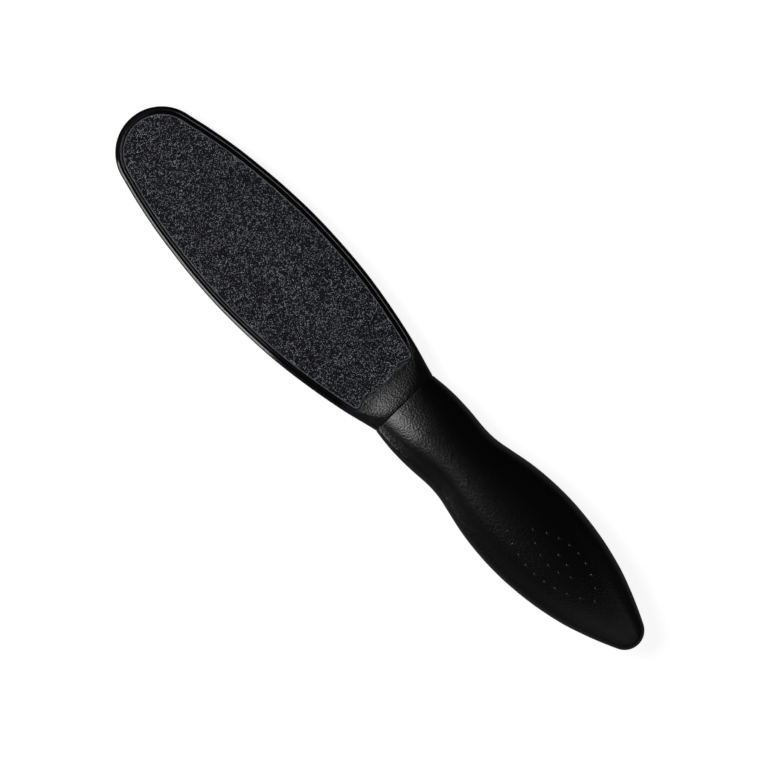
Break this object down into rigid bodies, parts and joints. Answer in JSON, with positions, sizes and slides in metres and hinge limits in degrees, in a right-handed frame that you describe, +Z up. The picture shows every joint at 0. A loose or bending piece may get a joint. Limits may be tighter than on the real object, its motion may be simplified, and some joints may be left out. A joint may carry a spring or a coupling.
{
  "type": "foot file",
  "caption": "Double-sided paddle foot file: oval rimmed head with an abrasive pad on each face, and a soft moulded grip with raised dots.",
  "frame": {"origin": "bottom centre of the bounding box: the table plane on which the file lies, halfway along and across it", "axes": "+X along the file from the tip of the head to the end of the grip, +Y across it, +Z up and out of the coarse face; the head dips towards the table by about 1.7 degrees"},
  "size_m": [0.2398, 0.044, 0.0173],
  "materials": {
    "plastic": "black moulded plastic, fine spark-eroded texture with a smoother rim",
    "soft_grip": "black soft-touch elastomer, satin",
    "adhesive": "pressure-sensitive adhesive film",
    "backing": "water-resistant dark polyester sheet",
    "coarse_abrasive": "coarse silicon carbide grains bonded in dark resin",
    "fine_abrasive": "fine silicon carbide grains bonded in dark resin"
  },
  "bodies": {
    "root": {"frame": "plastic", "grip": "soft_grip", "coarse_adhesive": "adhesive", "coarse_backing": "backing", "coarse_grit": "coarse_abrasive", "fine_adhesive": "adhesive", "fine_backing": "backing", "fine_grit": "fine_abrasive"}
  },
  "joints": []
}
